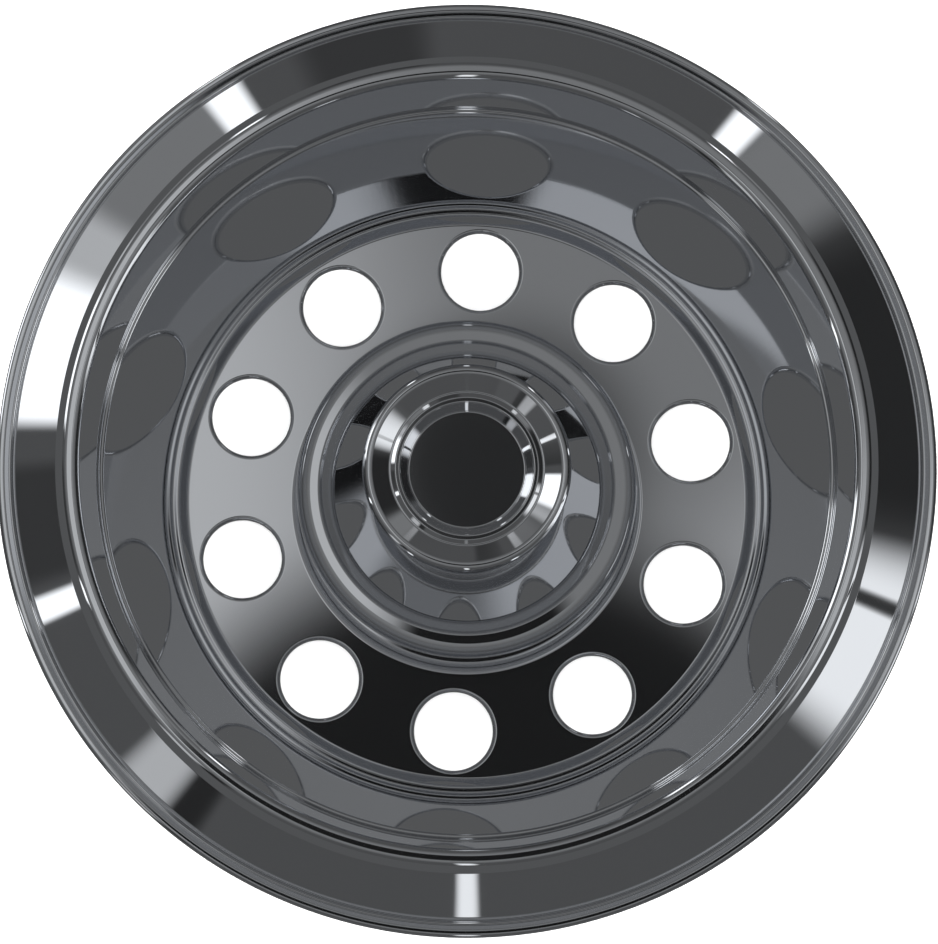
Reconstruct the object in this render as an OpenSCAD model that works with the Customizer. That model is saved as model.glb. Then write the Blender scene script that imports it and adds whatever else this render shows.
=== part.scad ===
// Wheel simulator for the outer wheel of a truck's rear pair: one pressed and
// polished stainless shell that hooks over the rim's flange, follows the wheel's
// dish down to its disc, and covers the nuts and the axle end in the middle.
//
// It lies on its back: +Z is the side that is seen on the truck, z = 0 is the
// surface that the ten turned-back hand-hole edges rest on, and the wheel's axis
// is the Z axis. Diameters are of the polished front surface. Heights are of the
// front surface above the seat, the plane where the back of the face meets the
// wheel's disc. +Y is the top of the wheel.

/* [Sheet] */
// Thickness of the stainless sheet
sheet_t = 0.9; // [0.7:0.05:1.2]

/* [Rim lip] */
// Diameter of the rim flange that the lip closes over
rim_flange_d = 520.7; // [460:0.1:580]
// Gap between the rim flange and the inside of the lip, on the radius
flange_gap = 0.2; // [0.1:0.05:0.6]
// Height of the lip's crest
lip_z = 163.6; // [160:0.2:166]
// How far the skirt reaches down from the crest, over the flange's edge
skirt_h = 8.6; // [7:0.2:12]
// How far the skirt's end turns in behind the flange
hook_w = 2.8; // [2.4:0.1:4]
// Width of the rounded lip, from the skirt to the groove's bottom
lip_w = 8; // [7.2:0.1:9]
// Depth of the groove inside the lip, below the crest
groove_depth = 2.2; // [1.6:0.1:3]
// Width of the groove's inner side, up to the band
groove_inner_w = 2.65; // [2:0.05:4]

/* [Band and bead] */
// Width of the plain sloping band
band_w = 23.4; // [18:0.1:30]
// Height of the band's outer edge
band_z = 168.5; // [167:0.1:171]
// Height where the band meets the bead
bead_foot_z = 183.6; // [180:0.2:186]
// Width of the bead's outer flank
bead_outer_w = 4.9; // [4:0.1:7]
// Width of the bead's flat-topped crest, between its corners
crest_w = 8; // [6.4:0.2:10]
// Width of the bead's inner flank, down to the throat
bead_inner_w = 8.8; // [7:0.1:11]
// Height of the bead's crest
bead_z = 190.2; // [189:0.2:194]
// Radius of the bead's corners
bead_r = 4.6; // [3.6:0.1:5]

/* [Bowl] */
// Height of the throat's ledge
throat_z = 141.4; // [132:0.2:150]
// Width of the throat's ledge
throat_w = 2.4; // [2.2:0.1:3]
// How far the bowl narrows from its throat to its foot, on the radius
bowl_slope_w = 34; // [26:0.2:40]
// Height of the foot ridge's crest
ridge_z = 7.6; // [6:0.1:10]
// Width of the foot ridge's top
ridge_w = 4.2; // [3.6:0.1:5]
// How far the ridge's top falls towards the wall
ridge_fall = 1; // [0.4:0.1:1.6]
// Width of the ridge's inner side, down to the flat face
ridge_rise_w = 4.5; // [3.5:0.1:6]

/* [Hand holes] */
// Number of hand holes
holes = 10; // [4:1:14]
// Flat left between each hole's edge and the outside of the face
hole_outer_gap = 2.7; // [2.4:0.1:12]
// Flat left between each hole's edge and the nut cover's wall
hole_inner_gap = 11.3; // [6:0.1:20]
// Turn of the first hole from the top of the wheel
hole_phase = 3.3; // [0:0.1:36]
// Radius of the hole's turned-back edge, on the front
edge_r = 2.4; // [2:0.1:3]
// Straight end of the turned-back edge, behind the bend
edge_end = 1; // [0.6:0.1:2]

/* [Hub dome] */
// Diameter of the nut cover's wall at its shoulder
nut_cover_d = 195; // [172:0.2:218]
// How far the nut cover's wall widens from its shoulder to its foot, on the radius
nut_cover_taper = 0.9; // [0.2:0.1:2]
// Height of the nut cover's ledge, at its shoulder
nut_cover_z = 64.8; // [56:0.2:72]
// Radius of the nut cover's shoulder
shoulder_r = 9; // [6:0.2:9.6]
// Radius of the fillet at the foot of the nut cover
foot_r = 4; // [2:0.2:5]
// Width of the ledge from the shoulder to the cone
ledge_w = 13.7; // [12.6:0.1:16]
// Rise of the ledge from the shoulder to the cone
ledge_rise = 1.4; // [0:0.1:3]
// How far the axle cover's cone narrows from its foot to its top, on the radius
cone_w = 26.8; // [20:0.2:32]
// Height of the top of the cone
cone_top_z = 160.4; // [150:0.2:168]
// Radius of the cone's rounded top edge
cone_top_r = 4; // [3:0.1:5]

/* [Centre] */
// Width of the slope from the top of the cone down into the dished ring
dish_slope_w = 14; // [12:0.1:17]
// Depth of the dished ring below the top of the cone
dish_depth = 7.6; // [6:0.1:9]
// Width of the dished ring's flat bottom
dish_w = 3; // [2.4:0.1:4]
// Width of the centre bead, between its corners
centre_bead_w = 2.8; // [2.4:0.1:3.4]
// Height of the centre bead above the dished ring
centre_bead_h = 1.6; // [1.2:0.1:2]
// Width of the slope from the centre bead down to the disc
disc_slope_w = 4.2; // [3.6:0.1:6]
// Depth of the centre disc below the centre bead
disc_depth = 7.4; // [5:0.1:8]

/* [Hidden] */
// Smallest and middling bends of the pressed sheet, on the front surface
tight_r = 1.6;
soft_r = 2.4;
hook_r = 2;
// Largest turn of one straight stretch along a bend, in degrees
bend_step = 7.5;
// Smoothness of the turned surfaces
round_fn = 180;
// Width of the groove's outer side, up to the crest of the lip
groove_outer_w = 4;
// Fall of the bowl's wall across the throat's ledge
ledge_fall = 0.4;
// Depth of the turned-back edges behind the seat
edge_drop = edge_r - sheet_t + edge_end;
// Flat ring round each turned-back edge, half of it in the face's own hole
edge_lap = 0.4;

// Radii and heights from the rim's flange in to the face
lip_r = rim_flange_d / 2 + flange_gap + sheet_t;
hook_z = lip_z - skirt_h;
groove_x = lip_r - lip_w;
groove_z = lip_z - groove_depth;
band_x = groove_x - groove_inner_w;
bead_foot_x = band_x - band_w;
crest_x = bead_foot_x - bead_outer_w;
throat_x = crest_x - crest_w - bead_inner_w;
bowl_foot_x = throat_x - bowl_slope_w;
face_x = bowl_foot_x - ridge_w - ridge_rise_w;

// Radii and heights from the nut cover in to the centre disc
cover_x = nut_cover_d / 2;
cover_foot_x = cover_x + nut_cover_taper;
cone_foot_x = cover_x - ledge_w;
cone_top_x = cone_foot_x - cone_w;
dish_x = cone_top_x - dish_slope_w;
centre_bead_x = dish_x - dish_w;
disc_x = centre_bead_x - centre_bead_w - disc_slope_w;
dish_z = cone_top_z - dish_depth;
centre_bead_z = dish_z + centre_bead_h;
disc_z = centre_bead_z - disc_depth;

// The hand holes fill the face between the nut cover and the bowl, less the two gaps
hole_d = face_x - hole_outer_gap - cover_foot_x - hole_inner_gap - 2 * edge_r;
hole_circle_r = face_x - hole_outer_gap - edge_r - hole_d / 2;

// The front surface from the axis out to the lip's hook, as corners of
// [radius, height, radius of the bend]
front_corners = [
    [0, disc_z, 0],
    [disc_x, disc_z, tight_r],
    [centre_bead_x - centre_bead_w, centre_bead_z, tight_r],
    [centre_bead_x, centre_bead_z, tight_r],
    [dish_x, dish_z, tight_r],
    [cone_top_x, cone_top_z, cone_top_r],
    [cone_foot_x, nut_cover_z + ledge_rise, soft_r],
    [cover_x, nut_cover_z, shoulder_r],
    [cover_foot_x, sheet_t, foot_r],
    [face_x, sheet_t, soft_r],
    [bowl_foot_x - ridge_w, ridge_z, soft_r],
    [bowl_foot_x, ridge_z - ridge_fall, tight_r],
    [throat_x - throat_w, throat_z - ledge_fall, tight_r],
    [throat_x, throat_z, tight_r],
    [crest_x - crest_w, bead_z, bead_r],
    [crest_x, bead_z, bead_r],
    [bead_foot_x, bead_foot_z, soft_r],
    [band_x, band_z, tight_r],
    [groove_x, groove_z, tight_r],
    [groove_x + groove_outer_w, lip_z, soft_r],
    [lip_r, lip_z, soft_r],
    [lip_r, hook_z, hook_r],
    [lip_r - hook_w, hook_z, 0]
];

function unit(v) = v / norm(v);
function along(i) = unit([front_corners[i + 1].x - front_corners[i].x,
                          front_corners[i + 1].y - front_corners[i].y]);
function left_of(v) = [-v.y, v.x];
function place(corner) = [corner.x, corner.y];
last = len(front_corners) - 1;

// Turn of the path at a corner, in degrees: positive to the left, where the front
// surface is hollow
function turn(i) = let (a = along(i - 1), b = along(i))
    atan2(a.x * b.y - a.y * b.x, a.x * b.x + a.y * b.y);

// Corners of the surface that lies a depth behind the front, with bends to match
function behind(depth) = [
    for (i = [0 : last])
        let (
            a = left_of(along(max(i - 1, 0))),
            b = left_of(along(min(i, last - 1))),
            p = place(front_corners[i]) - depth * (a + b) / (1 + a * b),
            middle = i > 0 && i < last,
            hollow = middle ? sign(turn(i)) : 0
        )
        [p.x, p.y, front_corners[i].z + hollow * depth]
];

// Points of one bend: its straight sides run on to the corners beside it
function bend(corners, i) =
    let (
        p = place(corners[i]),
        a = unit(place(corners[i - 1]) - p),
        b = unit(place(corners[i + 1]) - p),
        t = turn(i),
        r = corners[i].z,
        steps = ceil(abs(t) / bend_step),
        middle = p + unit(a + b) * r / cos(t / 2),
        arm = p + a * r * tan(abs(t) / 2) - middle
    )
    [
        for (k = [0 : steps])
            let (w = t * k / steps)
            middle + [arm.x * cos(w) - arm.y * sin(w), arm.x * sin(w) + arm.y * cos(w)]
    ];

function rounded(corners) = [
    place(corners[0]),
    for (i = [1 : last - 1]) each bend(corners, i),
    place(corners[last])
];

function backwards(list) = [for (i = [len(list) - 1 : -1 : 0]) list[i]];

// Section of the whole sheet, from the axis to the lip's hook
module sheet_section() {
    polygon(concat(rounded(front_corners), backwards(rounded(behind(sheet_t)))));
}

// Places its children at each hand hole, from the top of the wheel round to the right
module at_hand_holes() {
    for (k = [0 : holes - 1])
        rotate(90 - hole_phase - k * 360 / holes)
            translate([hole_circle_r, 0, 0])
                children();
}

// Turned-back edge of one hand hole: a flat ring that lies in the face and overlaps it,
// a bend out of the face, then a short straight end
module hole_edge() {
    rotate_extrude($fn = round_fn) {
        translate([hole_d / 2 + edge_r, 0])
            square([edge_lap, sheet_t]);
        difference() {
            intersection() {
                translate([hole_d / 2 + edge_r, sheet_t - edge_r])
                    circle(r = edge_r, $fn = round_fn);
                translate([hole_d / 2, sheet_t - edge_r])
                    square(edge_r);
            }
            translate([hole_d / 2 + edge_r, sheet_t - edge_r])
                circle(r = edge_r - sheet_t, $fn = round_fn);
        }
        translate([hole_d / 2, -edge_drop])
            square([sheet_t, edge_end]);
    }
}

module wheel_cover() {
    color("gainsboro")
        translate([0, 0, edge_drop]) {
            difference() {
                rotate_extrude($fn = round_fn)
                    sheet_section();
                at_hand_holes()
                    translate([0, 0, -sheet_t])
                        cylinder(r = hole_d / 2 + edge_r + edge_lap / 2, h = 3 * sheet_t,
                                 $fn = round_fn);
            }
            at_hand_holes()
                hole_edge();
        }
}

wheel_cover();
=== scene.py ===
"""Polished wheel simulator for a truck's rear pair of wheels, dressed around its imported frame.

One pressed shell of mirror-polished stainless steel: a hooked lip, a sloping band, a proud
bead, a deep bowl, a flat face with turned-back hand holes, and a stepped dome in the middle.
"""

import math

import bpy
from bpy.props import (
    FloatProperty,
    FloatVectorProperty,
    IntProperty,
    PointerProperty,
)
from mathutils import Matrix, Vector


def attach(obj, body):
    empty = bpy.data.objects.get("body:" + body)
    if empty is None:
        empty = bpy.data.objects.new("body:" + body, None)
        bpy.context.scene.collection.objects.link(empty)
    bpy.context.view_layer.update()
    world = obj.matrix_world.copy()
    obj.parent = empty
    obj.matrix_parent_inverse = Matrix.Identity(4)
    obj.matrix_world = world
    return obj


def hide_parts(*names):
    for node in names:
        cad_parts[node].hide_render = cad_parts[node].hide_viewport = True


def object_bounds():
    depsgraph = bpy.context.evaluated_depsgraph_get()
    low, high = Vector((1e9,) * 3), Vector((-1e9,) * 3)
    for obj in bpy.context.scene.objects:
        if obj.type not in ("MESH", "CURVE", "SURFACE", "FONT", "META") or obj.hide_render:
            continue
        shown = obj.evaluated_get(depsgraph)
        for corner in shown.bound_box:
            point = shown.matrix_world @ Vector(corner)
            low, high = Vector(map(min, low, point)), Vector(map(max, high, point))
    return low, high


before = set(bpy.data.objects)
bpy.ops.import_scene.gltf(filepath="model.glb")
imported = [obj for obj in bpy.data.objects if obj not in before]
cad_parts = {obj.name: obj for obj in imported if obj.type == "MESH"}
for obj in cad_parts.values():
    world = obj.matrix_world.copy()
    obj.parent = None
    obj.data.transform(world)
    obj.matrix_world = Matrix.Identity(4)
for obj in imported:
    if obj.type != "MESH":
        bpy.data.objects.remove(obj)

bl_info = {
    "name": "Truck wheel simulator",
    "version": (1, 0, 0),
    "blender": (4, 5, 0),
    "location": "3D View > Sidebar > Wheel",
    "description": "Pressed and polished wheel cover, with the studio it is shown in",
    "category": "Object",
}

CAD_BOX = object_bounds()
NODE = "wheel_cover"


# Sizes and colours


def length(name, description, default):
    """A size in metres."""
    return FloatProperty(
        name=name,
        description=description,
        default=default,
        min=0.0,
        precision=5,
        unit="LENGTH",
    )


def share(name, description, default):
    """A plain number from 0 up."""
    return FloatProperty(
        name=name, description=description, default=default, min=0.0, precision=3
    )


def colour(name, description, default):
    """A linear colour."""
    return FloatVectorProperty(
        name=name,
        description=description,
        default=default,
        size=3,
        min=0.0,
        max=1.0,
        subtype="COLOR",
    )


class CoverSizes(bpy.types.PropertyGroup):
    """Sizes of the pressed shell. Heights are of the polished front above the seat."""

    sheet: length("Sheet", "Thickness of the stainless sheet", 0.0009)
    lip_r: length("Lip radius", "Outside radius of the rolled lip", CAD_BOX[1].y)
    lip_z: length("Lip height", "Height of the lip's crest", 0.1636)
    skirt: length("Skirt", "How far the skirt reaches down from the crest", 0.0086)
    hook: length("Hook", "How far the skirt's end turns in", 0.0028)
    lip_w: length("Lip width", "From the skirt to the groove's bottom", 0.008)
    groove_depth: length("Groove depth", "Depth of the groove inside the lip", 0.0022)
    groove_inner: length("Groove inner side", "Width up to the band", 0.00265)
    groove_outer: length("Groove outer side", "Width up to the lip's crest", 0.004)
    band_w: length("Band width", "Width of the plain sloping band", 0.0234)
    band_z: length("Band height", "Height of the band's outer edge", 0.1685)
    bead_foot_z: length("Bead foot", "Height where the band meets the bead", 0.1836)
    bead_outer: length("Bead outer flank", "Width of the outer flank", 0.0049)
    crest_w: length("Bead crest", "Width of the crest between its corners", 0.008)
    bead_inner: length("Bead inner flank", "Width of the inner flank", 0.0088)
    bead_z: length("Bead height", "Height of the bead's crest", 0.1902)
    bead_bend: length("Bead bend", "Radius of the bead's corners", 0.0046)
    throat_z: length("Throat height", "Height of the throat's ledge", 0.1414)
    throat_w: length("Throat width", "Width of the throat's ledge", 0.0024)
    throat_fall: length("Throat fall", "Fall across the throat's ledge", 0.0004)
    bowl_slope: length("Bowl slope", "How far the bowl narrows to its foot", 0.034)
    ridge_z: length("Ridge height", "Height of the foot ridge's crest", 0.0076)
    ridge_w: length("Ridge width", "Width of the foot ridge's top", 0.0042)
    ridge_fall: length("Ridge fall", "Fall of the ridge's top to the wall", 0.001)
    ridge_rise: length("Ridge rise", "Width of the ridge's inner side", 0.0045)
    hole_outer: length("Hole outer gap", "Flat left outside the hole's edge", 0.0027)
    hole_inner: length("Hole inner gap", "Flat left inside the hole's edge", 0.0113)
    edge_bend: length("Edge bend", "Radius of the turned-back edge", 0.0024)
    edge_end: length("Edge end", "Straight end of the turned-back edge", 0.001)
    cover_r: length("Nut cover radius", "Radius at the nut cover's shoulder", 0.0975)
    cover_taper: length("Nut cover taper", "Widening down to its foot", 0.0009)
    cover_z: length("Nut cover height", "Height of the ledge, outside", 0.0648)
    shoulder: length("Shoulder bend", "Radius of the nut cover's shoulder", 0.009)
    cover_foot: length("Foot bend", "Radius at the foot of the nut cover", 0.004)
    ledge_w: length("Ledge width", "From the shoulder to the cone", 0.0137)
    ledge_rise: length("Ledge rise", "Rise of the ledge to the cone", 0.0014)
    cone_w: length("Cone width", "How far the cone narrows to its top", 0.0268)
    cone_z: length("Cone height", "Height of the top of the cone", 0.1604)
    cone_bend: length("Cone bend", "Radius of the cone's top edge", 0.004)
    dish_slope: length("Dish slope", "Width of the slope inside the cone's top", 0.014)
    dish_depth: length("Dish depth", "Depth of the dished ring", 0.0076)
    dish_w: length("Dish width", "Width of the dished ring's bottom", 0.003)
    centre_bead_w: length("Centre bead", "Width of the centre bead", 0.0028)
    centre_bead_h: length("Centre bead height", "Height over the dish", 0.0016)
    disc_slope: length("Disc slope", "Width of the slope down to the disc", 0.0042)
    disc_depth: length("Disc depth", "Depth of the disc below the bead", 0.0074)
    tight: length("Tight bend", "Smallest bend of the sheet", 0.0016)
    soft: length("Soft bend", "Middling bend of the sheet", 0.0024)
    hook_bend: length("Hook bend", "Radius of the bend into the hook", 0.002)
    cut_bevel: length("Cut bevel", "Rounding of the sheet's cut edges", 0.0002)
    holes: IntProperty(
        name="Hand holes", description="Number of hand holes", default=10, min=3
    )
    hole_turn: FloatProperty(
        name="Hole turn",
        description="Turn of the first hole from the top of the wheel",
        default=math.radians(3.3),
        subtype="ANGLE",
    )


# The pressed section


def unit(x, y):
    """A direction of length one."""
    size = math.hypot(x, y)
    return x / size, y / size


def front_corners(s):
    """The front surface from the axis to the hook, as (radius, height, bend radius)."""
    groove_x = s.lip_r - s.lip_w
    band_x = groove_x - s.groove_inner
    bead_foot_x = band_x - s.band_w
    crest_x = bead_foot_x - s.bead_outer
    throat_x = crest_x - s.crest_w - s.bead_inner
    bowl_foot_x = throat_x - s.bowl_slope
    face_x = bowl_foot_x - s.ridge_w - s.ridge_rise
    cone_foot_x = s.cover_r - s.ledge_w
    cone_top_x = cone_foot_x - s.cone_w
    dish_x = cone_top_x - s.dish_slope
    bead_x = dish_x - s.dish_w
    disc_x = bead_x - s.centre_bead_w - s.disc_slope
    dish_z = s.cone_z - s.dish_depth
    centre_z = dish_z + s.centre_bead_h
    disc_z = centre_z - s.disc_depth
    hook_z = s.lip_z - s.skirt
    return [
        (0.0, disc_z, 0.0),
        (disc_x, disc_z, s.tight),
        (bead_x - s.centre_bead_w, centre_z, s.tight),
        (bead_x, centre_z, s.tight),
        (dish_x, dish_z, s.tight),
        (cone_top_x, s.cone_z, s.cone_bend),
        (cone_foot_x, s.cover_z + s.ledge_rise, s.soft),
        (s.cover_r, s.cover_z, s.shoulder),
        (s.cover_r + s.cover_taper, s.sheet, s.cover_foot),
        (face_x, s.sheet, s.soft),
        (bowl_foot_x - s.ridge_w, s.ridge_z, s.soft),
        (bowl_foot_x, s.ridge_z - s.ridge_fall, s.tight),
        (throat_x - s.throat_w, s.throat_z - s.throat_fall, s.tight),
        (throat_x, s.throat_z, s.tight),
        (crest_x - s.crest_w, s.bead_z, s.bead_bend),
        (crest_x, s.bead_z, s.bead_bend),
        (bead_foot_x, s.bead_foot_z, s.soft),
        (band_x, s.band_z, s.tight),
        (groove_x, s.lip_z - s.groove_depth, s.tight),
        (groove_x + s.groove_outer, s.lip_z, s.soft),
        (s.lip_r, s.lip_z, s.soft),
        (s.lip_r, hook_z, s.hook_bend),
        (s.lip_r - s.hook, hook_z, 0.0),
    ]


FOOT, FACE = 8, 9  # corners at the two sides of the flat face

# Fineness of the mesh: the turn of one step in a bend, and steps round the axis
FRONT_STEP, BACK_STEP = math.radians(10), math.radians(30)
AROUND = 300


def rounded(corners, step):
    """The path round its bends, as (radius, height, normal radius part, normal height part).

    Also gives where the flat face starts and ends in that list."""
    path, face = [], []
    last = len(corners) - 1
    for i, (x, z, bend) in enumerate(corners):
        before = corners[i - 1] if i > 0 else None
        after = corners[i + 1] if i < last else None
        if before is None:
            ux, uz = unit(after[0] - x, after[1] - z)
            path.append((x, z, -uz, ux))
            continue
        ax, az = unit(x - before[0], z - before[1])
        if after is None:
            path.append((x, z, -az, ax))
            continue
        bx, bz = unit(after[0] - x, after[1] - z)
        turn = math.atan2(ax * bz - az * bx, ax * bx + az * bz)
        side = math.copysign(1.0, turn)
        back = bend * math.tan(abs(turn) / 2)
        # middle of the bend, on the side that the path turns to
        mx = x - ax * back - az * bend * side
        mz = z - az * back + ax * bend * side
        steps = max(2, math.ceil(abs(turn) / step))
        if i == FACE:
            face.append(len(path))
        for k in range(steps + 1):
            w = turn * k / steps
            dx = ax * math.cos(w) - az * math.sin(w)
            dz = ax * math.sin(w) + az * math.cos(w)
            path.append((mx + dz * bend * side, mz - dx * bend * side, -dz, dx))
        if i == FOOT:
            face.append(len(path) - 1)
    return path, face


class Shell:
    """Collects the vertices, normals and faces of one closed mesh."""

    def __init__(self):
        self.points, self.normals, self.faces, self.back = [], [], [], []

    def point(self, position, normal):
        self.points.append(position)
        self.normals.append(normal)
        return len(self.points) - 1

    def quads(self, one, two, back):
        """Faces between two closed rings of the same count, the first one inside."""
        count = len(one)
        for j in range(count):
            k = (j + 1) % count
            self.faces.append((one[j], two[j], two[k], one[k]))
            self.back.append(back)


def cut_edge(start, normal, towards, thick, bevel):
    """Rounded cut edge of the sheet, from its front round its end to its back.

    The front ends at start, facing normal, and the sheet's end faces towards."""
    path = []
    for k in range(6):
        second = k > 2
        a = math.radians(45 * (k % 3))
        if second:
            deep, far = thick - bevel + bevel * math.sin(a), bevel * math.cos(a)
            wn, we = -math.sin(a), math.cos(a)
        else:
            deep, far = bevel - bevel * math.cos(a), bevel * math.sin(a)
            wn, we = math.cos(a), math.sin(a)
        place = [
            p - n * deep + e * (far - bevel)
            for p, n, e in zip(start, normal, towards)
        ]
        path.append((*place, *(n * wn + e * we for n, e in zip(normal, towards))))
    return path


def press_shell(s, step_front, step_back, around):
    """The whole shell as a Shell, lifted so that the hole edges rest at zero."""
    shell = Shell()
    drop = s.edge_bend - s.sheet + s.edge_end
    corners = front_corners(s)
    front, face_front = rounded(corners, step_front)
    back, face_back = rounded(corners, step_back)
    per_hole = around // s.holes
    count = per_hole * s.holes
    start = math.pi / 2 - s.hole_turn - math.pi / s.holes

    def lathe(x, z, nx, nz):
        ring = []
        for j in range(count):
            a = start + 2 * math.pi * j / count
            c, d = math.cos(a), math.sin(a)
            ring.append(shell.point((x * c, x * d, z + drop), (nx * c, nx * d, nz)))
        return ring

    behind = [
        (x - nx * s.sheet, z - nz * s.sheet, -nx, -nz) for x, z, nx, nz in back
    ]
    x, z, nx, nz = front[-1]
    edge = cut_edge((x, z), (nx, nz), (nz, -nx), s.sheet, s.cut_bevel)
    front_rings = [lathe(*p) for p in front[1:-1]] + [lathe(*p) for p in edge]
    back_rings = [lathe(*p) for p in behind[1:-1]]
    flat_front = face_front[0] - 1
    flat_back = face_back[0] - 1
    for i in range(len(front_rings) - 1):
        if i != flat_front:
            is_edge = i >= len(front) - 2
            shell.quads(front_rings[i], front_rings[i + 1], is_edge)
    for i in range(len(back_rings) - 1):
        if i != flat_back:
            shell.quads(back_rings[i + 1], back_rings[i], True)
    shell.quads(front_rings[-1], back_rings[-1], True)

    top = shell.point((0, 0, front[0][1] + drop), (0, 0, 1))
    under = shell.point((0, 0, behind[0][1] + drop), (0, 0, -1))
    for j in range(count):
        k = (j + 1) % count
        shell.faces.append((top, front_rings[0][j], front_rings[0][k]))
        shell.faces.append((under, back_rings[0][k], back_rings[0][j]))
        shell.back += [False, True]

    # the flat face, one sector for each hand hole
    face_x = corners[FACE][0]
    foot_x = corners[FOOT][0]
    hole_r = (face_x - s.hole_outer - foot_x - s.hole_inner) / 2 - s.edge_bend
    circle_r = face_x - s.hole_outer - s.edge_bend - hole_r
    sides = per_hole // 2
    wall, back_from = hole_wall(s, hole_r, step_front, step_back)
    layers = (
        (front_rings[flat_front], front_rings[flat_front + 1], s.sheet + drop, 1),
        (back_rings[flat_back], back_rings[flat_back + 1], drop, -1),
    )
    spokes = []
    for inner, outer, z, up in layers:
        rows = []
        for h in range(s.holes):
            p, q = (
                Vector(shell.points[inner[h * per_hole]]),
                Vector(shell.points[outer[h * per_hole]]),
            )
            rows.append(
                [
                    shell.point(tuple(p.lerp(q, i / sides)), (0, 0, up))
                    for i in range(1, sides)
                ]
            )
        spokes.append(rows)
    for h in range(s.holes):
        a = start + 2 * math.pi * (h + 0.5) / s.holes
        centre = Vector((circle_r * math.cos(a), circle_r * math.sin(a), 0))
        loops = []
        for (inner, outer, z, up), rows in zip(layers, spokes):
            j0, j1 = h * per_hole, (h + 1) * per_hole
            right, left = rows[h], rows[(h + 1) % s.holes]
            loop = [outer[j % count] for j in range(j0, j1 + 1)]
            loop += left[::-1]
            loop += [inner[j % count] for j in range(j1, j0 - 1, -1)]
            loop += right
            loops.append(loop)
        rays = [
            unit(*(Vector(shell.points[v]) - centre).xy) for v in loops[0]
        ]

        def circle(radius, z, nr, nz):
            return [
                shell.point(
                    (centre.x + dx * radius, centre.y + dy * radius, z + drop),
                    (dx * nr, dy * nr, nz),
                )
                for dx, dy in rays
            ]

        rings = [circle(*w) for w in wall]
        for i in range(len(rings) - 1):
            shell.quads(rings[i + 1], rings[i], i >= back_from)
        for loop, ring, (_, _, z, up), mids in (
            (loops[0], rings[0], layers[0], 3),
            (loops[1], rings[-1], layers[1], 1),
        ):
            previous = ring
            for m in range(1, mids + 1):
                w = m / (mids + 1)
                following = [
                    shell.point(
                        tuple(
                            Vector(shell.points[r]).lerp(Vector(shell.points[b]), w)
                        ),
                        (0, 0, up),
                    )
                    for r, b in zip(ring, loop)
                ]
                if up > 0:
                    shell.quads(previous, following, False)
                else:
                    shell.quads(following, previous, True)
                previous = following
            if up > 0:
                shell.quads(previous, loop, False)
            else:
                shell.quads(loop, previous, True)
    return shell


def hole_wall(s, hole_r, step_front, step_back):
    """The turned-back edge from the face's front round its end to the face's back.

    Each is (radius from the hole's middle, height, normal outwards, normal upwards).
    Also gives where the front ends in that list."""
    wall = []
    top = s.sheet - s.edge_bend
    steps = math.ceil(math.pi / 2 / step_front)
    for k in range(steps + 1):
        a = math.pi / 2 * k / steps
        wall.append(
            (
                hole_r + s.edge_bend * (1 - math.sin(a)),
                top + s.edge_bend * math.cos(a),
                -math.sin(a),
                math.cos(a),
            )
        )
    end = top - s.edge_end
    back_from = len(wall) + 2
    wall += cut_edge((hole_r, end), (-1.0, 0.0), (0.0, -1.0), s.sheet, s.cut_bevel)
    inner = s.edge_bend - s.sheet
    steps = math.ceil(math.pi / 2 / step_back)
    for k in range(steps + 1):
        a = math.pi / 2 * (1 - k / steps)
        wall.append(
            (
                hole_r + s.edge_bend - inner * math.sin(a),
                top + inner * math.cos(a),
                math.sin(a),
                -math.cos(a),
            )
        )
    return wall, back_from


def make_piece(name, shell, materials):
    """A mesh object with the exact normals of the pressed surface."""
    mesh = bpy.data.meshes.new(name)
    mesh.from_pydata(shell.points, [], shell.faces)
    mesh.polygons.foreach_set("use_smooth", [True] * len(shell.faces))
    mesh.polygons.foreach_set("material_index", [int(b) for b in shell.back])
    for material in materials:
        mesh.materials.append(material)
    mesh.normals_split_custom_set_from_vertices(shell.normals)
    mesh.update()
    piece = bpy.data.objects.new(name, mesh)
    bpy.context.scene.collection.objects.link(piece)
    return piece


# Node helpers


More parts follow.
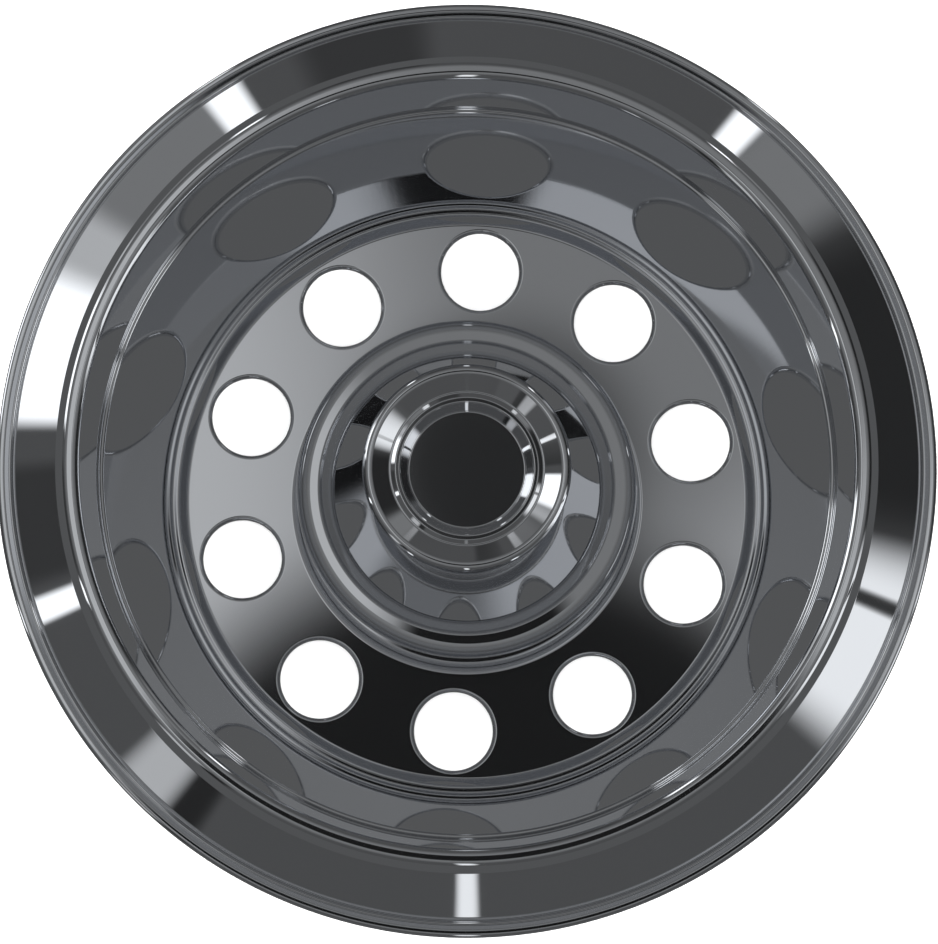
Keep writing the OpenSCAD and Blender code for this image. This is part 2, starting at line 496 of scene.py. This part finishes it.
class Nodes:
    """Adds nodes to a tree and links them, with a value or a socket for each input."""

    def __init__(self, tree):
        self.tree = tree

    def add(self, kind, fields=None, **inputs):
        node = self.tree.nodes.new(kind)
        for key, value in (fields or {}).items():
            setattr(node, key, value)
        for key, value in inputs.items():
            self.put(node.inputs[key.replace("_", " ")], value)
        return node

    def put(self, socket, value):
        if isinstance(value, bpy.types.NodeSocket):
            self.tree.links.new(value, socket)
        else:
            socket.default_value = value

    def math(self, operation, *values):
        node = self.tree.nodes.new("ShaderNodeMath")
        node.operation = operation
        for socket, value in zip(node.inputs, values):
            self.put(socket, value)
        return node.outputs[0]

    def vector(self, operation, *values, out=0):
        node = self.tree.nodes.new("ShaderNodeVectorMath")
        node.operation = operation
        for socket, value in zip(node.inputs, values):
            self.put(socket, value)
        return node.outputs[out]

    def scaled(self, vector, factor):
        node = self.tree.nodes.new("ShaderNodeVectorMath")
        node.operation = "SCALE"
        self.put(node.inputs[0], vector)
        self.put(node.inputs["Scale"], factor)
        return node.outputs[0]

    def spread(self, value, low, high, to_low=0.0, to_high=1.0):
        """The value carried smoothly from low..high to to_low..to_high."""
        node = self.tree.nodes.new("ShaderNodeMapRange")
        node.interpolation_type = "SMOOTHSTEP"
        for socket, v in zip(node.inputs, (value, low, high, to_low, to_high)):
            self.put(socket, v)
        return node.outputs[0]

    def mix(self, factor, one, two):
        """Colour one, with colour two over it where the factor is one."""
        node = self.tree.nodes.new("ShaderNodeMix")
        node.data_type = "RGBA"
        self.put(node.inputs[0], factor)
        self.put(node.inputs[6], one)
        self.put(node.inputs[7], two)
        return node.outputs[2]

    def blend(self, factor, one, two):
        """Shader one, with shader two over it where the factor is one."""
        node = self.add("ShaderNodeMixShader", Fac=factor)
        self.put(node.inputs[1], one)
        self.put(node.inputs[2], two)
        return node.outputs[0]

    def seen_by_polish(self, plain, mirrored):
        """The plain shader, and the mirrored one for what polished metal reflects."""
        path = self.add("ShaderNodeLightPath").outputs
        glossy = self.math("MAXIMUM", path["Is Glossy Ray"], path["Is Singular Ray"])
        return self.blend(glossy, plain, mirrored)


def material(name):
    """An empty node material, its Nodes and its output's surface socket."""
    made = bpy.data.materials.new(name)
    made.use_nodes = True
    tree = made.node_tree
    tree.nodes.clear()
    nodes = Nodes(tree)
    out = tree.nodes.new("ShaderNodeOutputMaterial")
    return made, nodes, out.inputs["Surface"]


def stainless(name, finish, roughness):
    """Bare stainless steel of one finish."""
    made, n, surface = material(name)
    steel = (*finish.steel, 1.0)
    bsdf = n.add(
        "ShaderNodeBsdfPrincipled",
        Metallic=1.0,
        Roughness=roughness,
        Base_Color=steel,
    )
    n.put(surface, bsdf.outputs[0])
    return made


class Finish(bpy.types.PropertyGroup):
    """Colours and polish of the sheet."""

    steel: colour("Steel", "Colour of the stainless steel", (0.80, 0.81, 0.83))
    polish: share("Polish", "Roughness of the mirror-polished front", 0.03)
    mill: share("Mill finish", "Roughness of the back, as the sheet came", 0.4)


class Studio(bpy.types.PropertyGroup):
    """The floor, the light round the object and the camera."""

    floor: colour("Floor", "Colour of the pale floor", (0.9, 0.9, 0.9))
    floor_size: length("Floor size", "Side of the square floor", 40.0)
    room_light: share("Room light", "Strength of the plain white light", 3.4)
    floor_seen: share("Floor in the polish", "Brightness the polish reflects", 0.1)
    tint: colour("Card tint", "Colour of the light from the cards", (0.96, 0.98, 1.0))
    stir: share("Card waviness", "How far the cards' edges wander", 0.05)
    focal: length("Focal length", "Focal length of the camera", 0.2288)
    distance: length("Distance", "From the camera to the lip's middle", 3.337)
    aim_z: length("Aim height", "Height of the point the camera turns about", 0.1624)
    elevation: FloatProperty(
        name="Elevation",
        description="Angle of the camera above the floor",
        default=math.radians(83),
        subtype="ANGLE",
    )
    shift_x: FloatProperty(
        name="Shift across", description="Sideways shift of the frame", default=0.0023
    )
    shift_y: FloatProperty(
        name="Shift up", description="Upward shift of the frame", default=-0.0053
    )


def settings(context):
    scene = context.scene
    return scene.wheel_cover_sizes, scene.wheel_cover_finish, scene.wheel_cover_studio


class OBJECT_OT_press_wheel_cover(bpy.types.Operator):
    """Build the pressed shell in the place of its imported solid"""

    bl_idname = "object.press_wheel_cover"
    bl_label = "Wheel cover"
    bl_options = {"REGISTER", "UNDO"}

    def execute(self, context):
        sizes, finish, _ = settings(context)
        shell = press_shell(sizes, FRONT_STEP, BACK_STEP, AROUND)
        front = stainless("polished_steel", finish, finish.polish)
        back = stainless("mill_steel", finish, finish.mill)
        piece = make_piece("polished_shell", shell, [front, back])
        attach(piece, "root")
        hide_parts(NODE)
        return {"FINISHED"}


class SCENE_OT_light_wheel_cover(bpy.types.Operator):
    """Set up the pale floor, the light and the camera"""

    bl_idname = "scene.light_wheel_cover"
    bl_label = "Studio"
    bl_options = {"REGISTER", "UNDO"}

    def execute(self, context):
        _, _, studio = settings(context)
        make_floor(studio)
        make_world(studio)
        make_camera(context.scene, studio)
        return {"FINISHED"}


def make_floor(studio):
    half = studio.floor_size / 2
    mesh = bpy.data.meshes.new("floor")
    corners = [(-half, -half, 0), (half, -half, 0), (half, half, 0), (-half, half, 0)]
    mesh.from_pydata(corners, [], [(0, 1, 2, 3)])
    made, n, surface = material("pale_floor")
    diffuse = n.add("ShaderNodeBsdfDiffuse", Color=(*studio.floor, 1.0))
    shade = n.add(
        "ShaderNodeEmission", Color=(*studio.tint, 1), Strength=studio.floor_seen
    )
    n.put(surface, n.seen_by_polish(diffuse.outputs[0], shade.outputs[0]))
    mesh.materials.append(made)
    floor = bpy.data.objects.new("floor", mesh)
    bpy.context.scene.collection.objects.link(floor)


# Cards that stand round the object: (azimuth, half width, middle height, half height,
# blur across, blur up, colour), in degrees, with azimuth clockwise from the top of the
# wheel and height above the floor. Later cards stand in front of earlier ones.
BLACK, DARK, DIM, GREY = 0.01, 0.02, 0.04, 0.08
PALE, BRIGHT, WHITE, HOT = 0.2, 0.5, 1.0, 1.5
WALL_CARDS = (
    (15, 28, 18, 16, 6, 4, GREY),
    (43, 6, 18, 14, 4, 3, PALE),
    (35, 1.2, 17, 9, 1.2, 3, HOT),
    (72, 18, 18, 16, 8, 4, DARK),
    (108, 10, 20, 16, 6, 4, WHITE),
    (102, 0.6, 20, 14, 1.0, 3, DIM),
    (165, 38, 24, 16, 3, 4, GREY),
    (180, 0.8, 26, 12, 1.2, 3, WHITE),
    (223, 2, 24, 14, 2, 3, DARK),
    (230, 3, 24, 14, 2.5, 3, BRIGHT),
    (258, 1.2, 22, 13, 1.0, 3, HOT),
    (269, 7, 20, 14, 2, 3, DIM),
    (293, 10, 18, 15, 2, 4, HOT),
    (307, 4, 16, 13, 4, 3, BRIGHT),
    (320, 9, 15, 12, 3, 3, PALE),
    (331, 1.6, 15, 11, 1.6, 3, HOT),
    (348, 6, 14, 12, 3, 3, DIM),
)
# Cards overhead: (right, up, half width, half height, blur, colour), as shares of the
# distance to the ceiling, seen from the object with the top of the wheel upwards.
CEILING_CARDS = (
    (-0.15, 0.10, 0.10, 0.16, 0.06, BRIGHT),
    (0.10, 0.08, 0.05, 0.03, 0.04, BRIGHT),
    (0.03, -0.06, 0.10, 0.12, 0.04, BLACK),
    (0.0, 0.03, 0.06, 0.07, 0.02, BLACK),
    (0.0, 0.122, 0.012, 0.012, 0.02, DARK),
)


def wall_card_group():
    """Mask of one soft-edged card, from the direction's azimuth and height."""
    group = bpy.data.node_groups.new("wall_card", "ShaderNodeTree")
    face = group.interface
    for name, kind in (
        ("Level direction", "NodeSocketVector"),
        ("Height", "NodeSocketFloat"),
        ("Facing", "NodeSocketVector"),
        ("Edge start", "NodeSocketFloat"),
        ("Edge end", "NodeSocketFloat"),
        ("Middle height", "NodeSocketFloat"),
        ("Half height", "NodeSocketFloat"),
        ("Blur up", "NodeSocketFloat"),
    ):
        face.new_socket(name, in_out="INPUT", socket_type=kind)
    face.new_socket("Mask", in_out="OUTPUT", socket_type="NodeSocketFloat")
    n = Nodes(group)
    given = n.add("NodeGroupInput").outputs
    towards = n.vector("DOT_PRODUCT", given["Level direction"], given["Facing"], out=1)
    across = n.spread(towards, given["Edge start"], given["Edge end"])
    off = n.math("ABSOLUTE", n.math("SUBTRACT", given["Height"], given["Middle height"]))
    over = n.math("SUBTRACT", off, given["Half height"])
    up = n.spread(n.math("DIVIDE", over, given["Blur up"]), 1.0, 0.0)
    out = n.add("NodeGroupOutput")
    n.put(out.inputs["Mask"], n.math("MULTIPLY", across, up))
    return group


def ceiling_card_group():
    """Mask of one soft-edged oval card overhead, from where the direction meets it."""
    group = bpy.data.node_groups.new("ceiling_card", "ShaderNodeTree")
    face = group.interface
    for name, kind in (
        ("Ceiling point", "NodeSocketVector"),
        ("Middle", "NodeSocketVector"),
        ("Shrink", "NodeSocketVector"),
        ("Edge", "NodeSocketFloat"),
    ):
        face.new_socket(name, in_out="INPUT", socket_type=kind)
    face.new_socket("Mask", in_out="OUTPUT", socket_type="NodeSocketFloat")
    n = Nodes(group)
    given = n.add("NodeGroupInput").outputs
    away = n.vector("SUBTRACT", given["Ceiling point"], given["Middle"])
    scaled = n.vector("MULTIPLY", away, given["Shrink"])
    reach = n.vector("LENGTH", scaled, out=1)
    out = n.add("NodeGroupOutput")
    n.put(out.inputs["Mask"], n.spread(reach, given["Edge"], 1.0, 1.0, 0.0))
    return group


def make_world(studio):
    """Plain soft white for the floor, and the cards for what the polish reflects."""
    world = bpy.data.worlds.new("studio")
    world.use_nodes = True
    world.node_tree.nodes.clear()
    n = Nodes(world.node_tree)
    out = n.add("ShaderNodeOutputWorld")
    way = n.add("ShaderNodeTexCoord").outputs["Generated"]
    stir = n.add("ShaderNodeTexNoise", Vector=way, Scale=2.2, Detail=1.0)
    shift = n.vector("SUBTRACT", stir.outputs["Color"], (0.5, 0.5, 0.5))
    way = n.vector("NORMALIZE", n.vector("ADD", way, n.scaled(shift, studio.stir)))
    split = n.add("ShaderNodeSeparateXYZ", Vector=way).outputs
    level = n.vector("NORMALIZE", n.vector("MULTIPLY", way, (1.0, 1.0, 0.0)))
    height = n.math("ARCSINE", split["Z"])
    over = n.math("DIVIDE", 1.0, n.math("MAXIMUM", split["Z"], 0.05))
    ceiling = n.vector("MULTIPLY", n.scaled(way, over), (1.0, 1.0, 0.0))

    tone = n.spread(height, math.radians(30), math.radians(75), GREY, PALE)
    paint = n.mix(tone, (0, 0, 0, 1), (*studio.tint, 1))
    wall_card, ceiling_card = wall_card_group(), ceiling_card_group()
    for azimuth, half, middle, tall, blur, blur_up, bright in WALL_CARDS:
        a = math.radians(azimuth)
        card = n.add("ShaderNodeGroup", {"node_tree": wall_card})
        for key, value in {
            "Level direction": level,
            "Height": height,
            "Facing": (math.sin(a), math.cos(a), 0.0),
            "Edge start": math.cos(math.radians(half + blur)),
            "Edge end": math.cos(math.radians(half - min(blur, half) * 0.5)),
            "Middle height": math.radians(middle),
            "Half height": math.radians(tall),
            "Blur up": math.radians(blur_up),
        }.items():
            n.put(card.inputs[key], value)
        shade = tuple(bright * c for c in studio.tint)
        paint = n.mix(card.outputs["Mask"], paint, (*shade, 1))
    for x, y, wide, tall, blur, bright in CEILING_CARDS:
        card = n.add("ShaderNodeGroup", {"node_tree": ceiling_card})
        for key, value in {
            "Ceiling point": ceiling,
            "Middle": (x, y, 0.0),
            "Shrink": (1 / (wide + blur), 1 / (tall + blur), 0.0),
            "Edge": min(wide, tall) / (min(wide, tall) + blur),
        }.items():
            n.put(card.inputs[key], value)
        shade = tuple(bright * c for c in studio.tint)
        up = n.math("GREATER_THAN", split["Z"], 0.3)
        mask = n.math("MULTIPLY", card.outputs["Mask"], up)
        paint = n.mix(mask, paint, (*shade, 1))
    cards = n.add("ShaderNodeBackground", Color=paint, Strength=1.0)
    plain = n.add(
        "ShaderNodeBackground", Color=(1, 1, 1, 1), Strength=studio.room_light
    )
    n.put(out.inputs["Surface"], n.seen_by_polish(plain.outputs[0], cards.outputs[0]))
    bpy.context.scene.world = world


def make_camera(scene, studio):
    data = bpy.data.cameras.new("camera")
    data.sensor_width = 36.0
    data.lens = studio.focal * 1000
    data.shift_x, data.shift_y = studio.shift_x, studio.shift_y
    data.clip_start, data.clip_end = 0.1, 100.0
    camera = bpy.data.objects.new("camera", data)
    towards = Vector((0, -math.cos(studio.elevation), math.sin(studio.elevation)))
    camera.location = Vector((0, 0, studio.aim_z)) + towards * studio.distance
    camera.rotation_euler = (-towards).to_track_quat("-Z", "Y").to_euler()
    scene.collection.objects.link(camera)
    scene.camera = camera
    scene.view_settings.view_transform = "Standard"


class VIEW3D_PT_wheel_cover(bpy.types.Panel):
    """Lists the sizes, colours and steps of the wheel cover"""

    bl_label = "Wheel cover"
    bl_space_type = "VIEW_3D"
    bl_region_type = "UI"
    bl_category = "Wheel"

    def draw(self, context):
        layout = self.layout
        for group in settings(context):
            box = layout.box()
            for name in group.__annotations__:
                box.prop(group, name)
        for step in STEPS:
            layout.operator(step.bl_idname)


STEPS = (OBJECT_OT_press_wheel_cover, SCENE_OT_light_wheel_cover)
CLASSES = (CoverSizes, Finish, Studio, *STEPS, VIEW3D_PT_wheel_cover)


def register():
    for cls in CLASSES:
        bpy.utils.register_class(cls)
    bpy.types.Scene.wheel_cover_sizes = PointerProperty(type=CoverSizes)
    bpy.types.Scene.wheel_cover_finish = PointerProperty(type=Finish)
    bpy.types.Scene.wheel_cover_studio = PointerProperty(type=Studio)


def unregister():
    del bpy.types.Scene.wheel_cover_sizes
    del bpy.types.Scene.wheel_cover_finish
    del bpy.types.Scene.wheel_cover_studio
    for cls in reversed(CLASSES):
        bpy.utils.unregister_class(cls)


def main():
    register()
    bpy.ops.object.press_wheel_cover()
    bpy.ops.scene.light_wheel_cover()


if __name__ == "__main__":
    main()
